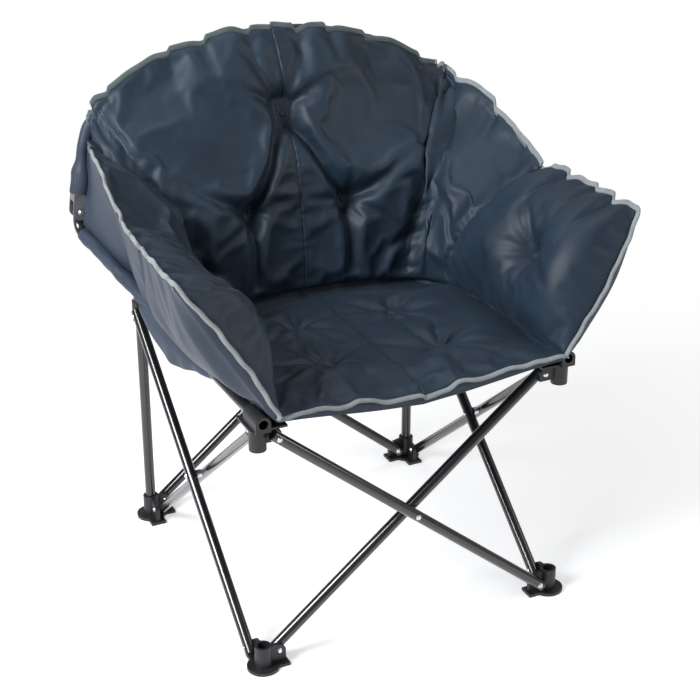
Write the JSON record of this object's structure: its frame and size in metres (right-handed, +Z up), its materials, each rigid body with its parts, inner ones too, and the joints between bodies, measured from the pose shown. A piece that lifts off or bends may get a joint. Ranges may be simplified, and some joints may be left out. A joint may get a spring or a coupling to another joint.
{
  "type": "padded camping chair",
  "caption": "Padded folding camping chair: tufted tub seat with wrap-round arms on a black steel scissor-braced base that folds inwards to a bundle.",
  "frame": {"origin": "on the ground, midway between the feet, chair open", "axes": "+Z up, the sitter faces -Y, +X to the right of someone who looks at the chair from the front"},
  "size_m": [0.856, 0.6681, 0.966],
  "materials": {
    "black_tube": "gloss black powder coat",
    "black_plastic": "satin black moulding",
    "rivet_steel": "bright rivet",
    "slider_steel": "satin black rod",
    "grey_bracket": "zinc plated bracket",
    "seat_fabric": "satin coated polyester",
    "back_fabric": "satin coated polyester",
    "arm_fabric": "satin coated polyester"
  },
  "bodies": {
    "foot_front_left": {"foot_front_left": "black_plastic", "rivets_foot_front_left": "rivet_steel"},
    "hub_front_left": {"hub_front_left": "black_plastic", "rivets_hub_front_left": "rivet_steel", "rail_left": "black_tube", "arm_pad_left": "arm_fabric"},
    "foot_front_right": {"foot_front_right": "black_plastic", "rivets_foot_front_right": "rivet_steel"},
    "hub_front_right": {"hub_front_right": "black_plastic", "rivets_hub_front_right": "rivet_steel", "rail_right": "black_tube", "arm_pad_right": "arm_fabric"},
    "foot_rear_left": {"foot_rear_left": "black_plastic", "rivets_foot_rear_left": "rivet_steel", "post_rear_left": "black_tube"},
    "hub_rear_left": {"hub_rear_left": "black_plastic", "rivets_hub_rear_left": "rivet_steel", "slider_rear_left": "slider_steel"},
    "foot_rear_right": {"foot_rear_right": "black_plastic", "rivets_foot_rear_right": "rivet_steel", "post_rear_right": "black_tube"},
    "hub_rear_right": {"hub_rear_right": "black_plastic", "rivets_hub_rear_right": "rivet_steel", "slider_rear_right": "slider_steel"},
    "hoop_left": {"hoop_left": "black_tube", "elbow_left": "grey_bracket", "rivet_elbow_left": "rivet_steel", "tongue_left": "grey_bracket", "back_pad_left": "back_fabric", "rivet_crown": "rivet_steel"},
    "seat_left": {"seat_pad_left": "seat_fabric"},
    "hoop_right": {"hoop_right": "black_tube", "elbow_right": "grey_bracket", "rivet_elbow_right": "rivet_steel", "tongue_right": "grey_bracket", "back_pad_right": "back_fabric"},
    "seat_right": {"seat_pad_right": "seat_fabric"},
    "brace_front_inner": {"brace_front_inner": "black_tube", "brace_front_inner_plugs": "black_plastic", "rivet_crossing_front": "rivet_steel"},
    "brace_front_outer": {"brace_front_outer": "black_tube", "brace_front_outer_plugs": "black_plastic"},
    "brace_right_inner": {"brace_right_inner": "black_tube", "brace_right_inner_plugs": "black_plastic", "rivet_crossing_right": "rivet_steel"},
    "brace_right_outer": {"brace_right_outer": "black_tube", "brace_right_outer_plugs": "black_plastic"},
    "brace_rear_inner": {"brace_rear_inner": "black_tube", "brace_rear_inner_plugs": "black_plastic", "rivet_crossing_rear": "rivet_steel"},
    "brace_rear_outer": {"brace_rear_outer": "black_tube", "brace_rear_outer_plugs": "black_plastic"},
    "brace_left_inner": {"brace_left_inner": "black_tube", "brace_left_inner_plugs": "black_plastic", "rivet_crossing_left": "rivet_steel"},
    "brace_left_outer": {"brace_left_outer": "black_tube", "brace_left_outer_plugs": "black_plastic"}
  },
  "joints": [
    {"name": "fold", "type": "hinge", "parent": "foot_front_left", "child": "brace_front_inner", "pos_m": [-0.26, -0.2756, 0.028], "axis": [0, -1, 0], "range_deg": [0, 35.54], "deforming": ["seat_pad_left", "seat_pad_right", "back_pad_left", "back_pad_right"]},
    {"name": "hub_front_right_turn", "type": "hinge", "parent": "brace_front_inner", "child": "hub_front_right", "pos_m": [0.26, -0.2756, 0.456], "axis": [0, 1, 0], "range_deg": [0, 35.59]},
    {"name": "front_crossing", "type": "hinge", "parent": "brace_front_inner", "child": "brace_front_outer", "pos_m": [0, -0.29, 0.242], "axis": [0, 1, 0], "range_deg": [0, 71.13]},
    {"name": "foot_front_right_turn", "type": "hinge", "parent": "brace_front_outer", "child": "foot_front_right", "pos_m": [0.26, -0.3044, 0.028], "axis": [0, -1, 0], "range_deg": [0, 35.59]},
    {"name": "hub_front_left_turn", "type": "hinge", "parent": "brace_front_outer", "child": "hub_front_left", "pos_m": [-0.26, -0.3044, 0.456], "axis": [0, -1, 0], "range_deg": [0, 35.59]},
    {"name": "left_outer_turn", "type": "hinge", "parent": "foot_front_left", "child": "brace_left_outer", "pos_m": [-0.3044, -0.26, 0.028], "axis": [1, 0, 0], "range_deg": [0, 35.59]},
    {"name": "hub_rear_left_turn", "type": "hinge", "parent": "brace_left_outer", "child": "hub_rear_left", "pos_m": [-0.3044, 0.26, 0.456], "axis": [-1, 0, 0], "range_deg": [0, 35.59]},
    {"name": "left_crossing", "type": "hinge", "parent": "brace_left_outer", "child": "brace_left_inner", "pos_m": [-0.29, 0, 0.242], "axis": [-1, 0, 0], "range_deg": [0, 71.13]},
    {"name": "foot_rear_left_turn", "type": "hinge", "parent": "brace_left_inner", "child": "foot_rear_left", "pos_m": [-0.2756, 0.26, 0.028], "axis": [1, 0, 0], "range_deg": [0, 35.59]},
    {"name": "right_inner_turn", "type": "hinge", "parent": "foot_front_right", "child": "brace_right_inner", "pos_m": [0.2756, -0.26, 0.028], "axis": [1, 0, 0], "range_deg": [0, 35.59]},
    {"name": "hub_rear_right_turn", "type": "hinge", "parent": "brace_right_inner", "child": "hub_rear_right", "pos_m": [0.2756, 0.26, 0.456], "axis": [-1, 0, 0], "range_deg": [0, 35.59]},
    {"name": "right_crossing", "type": "hinge", "parent": "brace_right_inner", "child": "brace_right_outer", "pos_m": [0.29, 0, 0.242], "axis": [-1, 0, 0], "range_deg": [0, 71.13]},
    {"name": "foot_rear_right_turn", "type": "hinge", "parent": "brace_right_outer", "child": "foot_rear_right", "pos_m": [0.3044, 0.26, 0.028], "axis": [1, 0, 0], "range_deg": [0, 35.59]},
    {"name": "rear_inner_turn", "type": "hinge", "parent": "foot_rear_right", "child": "brace_rear_inner", "pos_m": [0.26, 0.2756, 0.028], "axis": [0, 1, 0], "range_deg": [0, 35.59]},
    {"name": "rear_outer_turn", "type": "hinge", "parent": "foot_rear_left", "child": "brace_rear_outer", "pos_m": [-0.26, 0.3044, 0.028], "axis": [0, -1, 0], "range_deg": [0, 35.59]},
    {"name": "hoop_left_turn", "type": "hinge", "parent": "hub_front_left", "child": "hoop_left", "pos_m": [-0.388, 0.318, 0.663], "axis": [0, -1, 0], "range_deg": [0, 26.79]},
    {"name": "hoop_right_turn", "type": "hinge", "parent": "hub_front_right", "child": "hoop_right", "pos_m": [0.388, 0.318, 0.663], "axis": [0, 1, 0], "range_deg": [0, 26.79]},
    {"name": "seat_left_lift", "type": "hinge", "parent": "hub_front_left", "child": "seat_left", "pos_m": [-0.27, -0.06, 0.4785], "axis": [0, -1, 0], "range_deg": [0, 68.95]},
    {"name": "seat_right_lift", "type": "hinge", "parent": "hub_front_right", "child": "seat_right", "pos_m": [0.27, -0.06, 0.4785], "axis": [0, 1, 0], "range_deg": [0, 68.95]}
  ],
  "couplings": [
    {"joint": "hub_front_right_turn", "follows": "fold", "ratio": 1},
    {"joint": "front_crossing", "follows": "fold", "ratio": 2},
    {"joint": "foot_front_right_turn", "follows": "fold", "ratio": 1},
    {"joint": "hub_front_left_turn", "follows": "fold", "ratio": 1},
    {"joint": "left_outer_turn", "follows": "fold", "ratio": 1},
    {"joint": "hub_rear_left_turn", "follows": "fold", "ratio": 1},
    {"joint": "left_crossing", "follows": "fold", "ratio": 2},
    {"joint": "foot_rear_left_turn", "follows": "fold", "ratio": 1},
    {"joint": "right_inner_turn", "follows": "fold", "ratio": 1},
    {"joint": "hub_rear_right_turn", "follows": "fold", "ratio": 1},
    {"joint": "right_crossing", "follows": "fold", "ratio": 2},
    {"joint": "foot_rear_right_turn", "follows": "fold", "ratio": 1},
    {"joint": "rear_inner_turn", "follows": "fold", "ratio": 1},
    {"joint": "rear_outer_turn", "follows": "fold", "ratio": 1},
    {"joint": "hoop_left_turn", "follows": "fold", "ratio": 0.7523},
    {"joint": "hoop_right_turn", "follows": "fold", "ratio": 0.7523},
    {"joint": "seat_left_lift", "follows": "fold", "ratio": 1.9385},
    {"joint": "seat_right_lift", "follows": "fold", "ratio": 1.9385}
  ]
}
